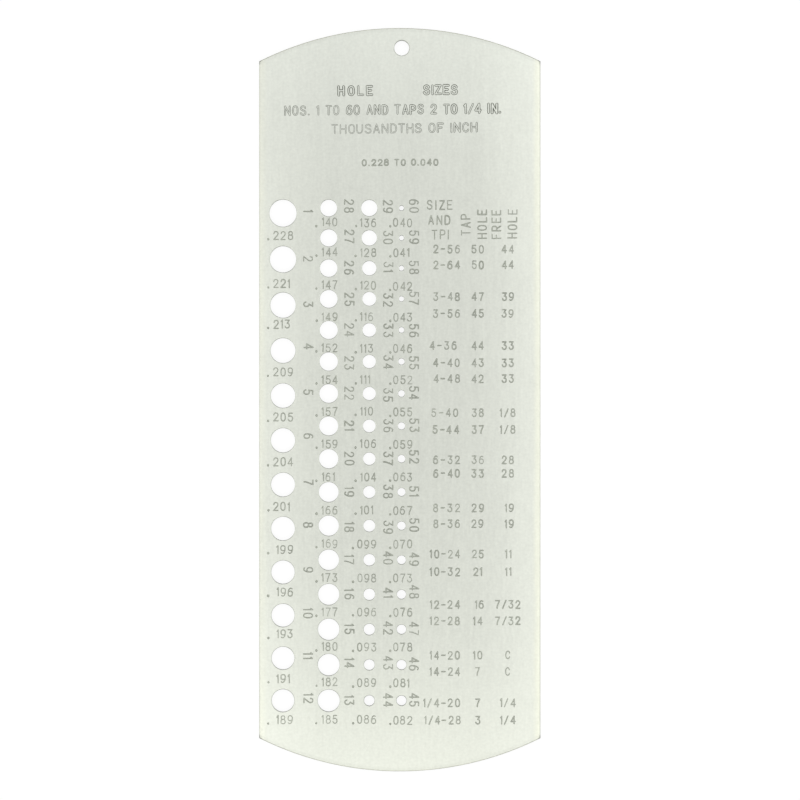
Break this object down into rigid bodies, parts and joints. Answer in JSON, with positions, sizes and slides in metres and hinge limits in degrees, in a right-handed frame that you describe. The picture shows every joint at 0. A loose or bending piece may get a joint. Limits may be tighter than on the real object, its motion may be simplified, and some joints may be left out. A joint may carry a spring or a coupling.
{
  "type": "drill size gauge",
  "caption": "Flat sheet steel drill gauge with curved ends, a hang hole and graduated columns of holes for sizing number drills, stamped with sizes and a tap drill table.",
  "frame": {"origin": "middle of the plate's length and width, on its back face", "axes": "+X to the right as the marked face is read, +Y along the plate towards the hang hole, +Z out of the marked face"},
  "size_m": [0.0604, 0.1594, 0.0012],
  "materials": {
    "gauge_plate": "satin, fine brushed grain along the length"
  },
  "bodies": {
    "root": {"gauge_plate": "gauge_plate"}
  },
  "joints": []
}
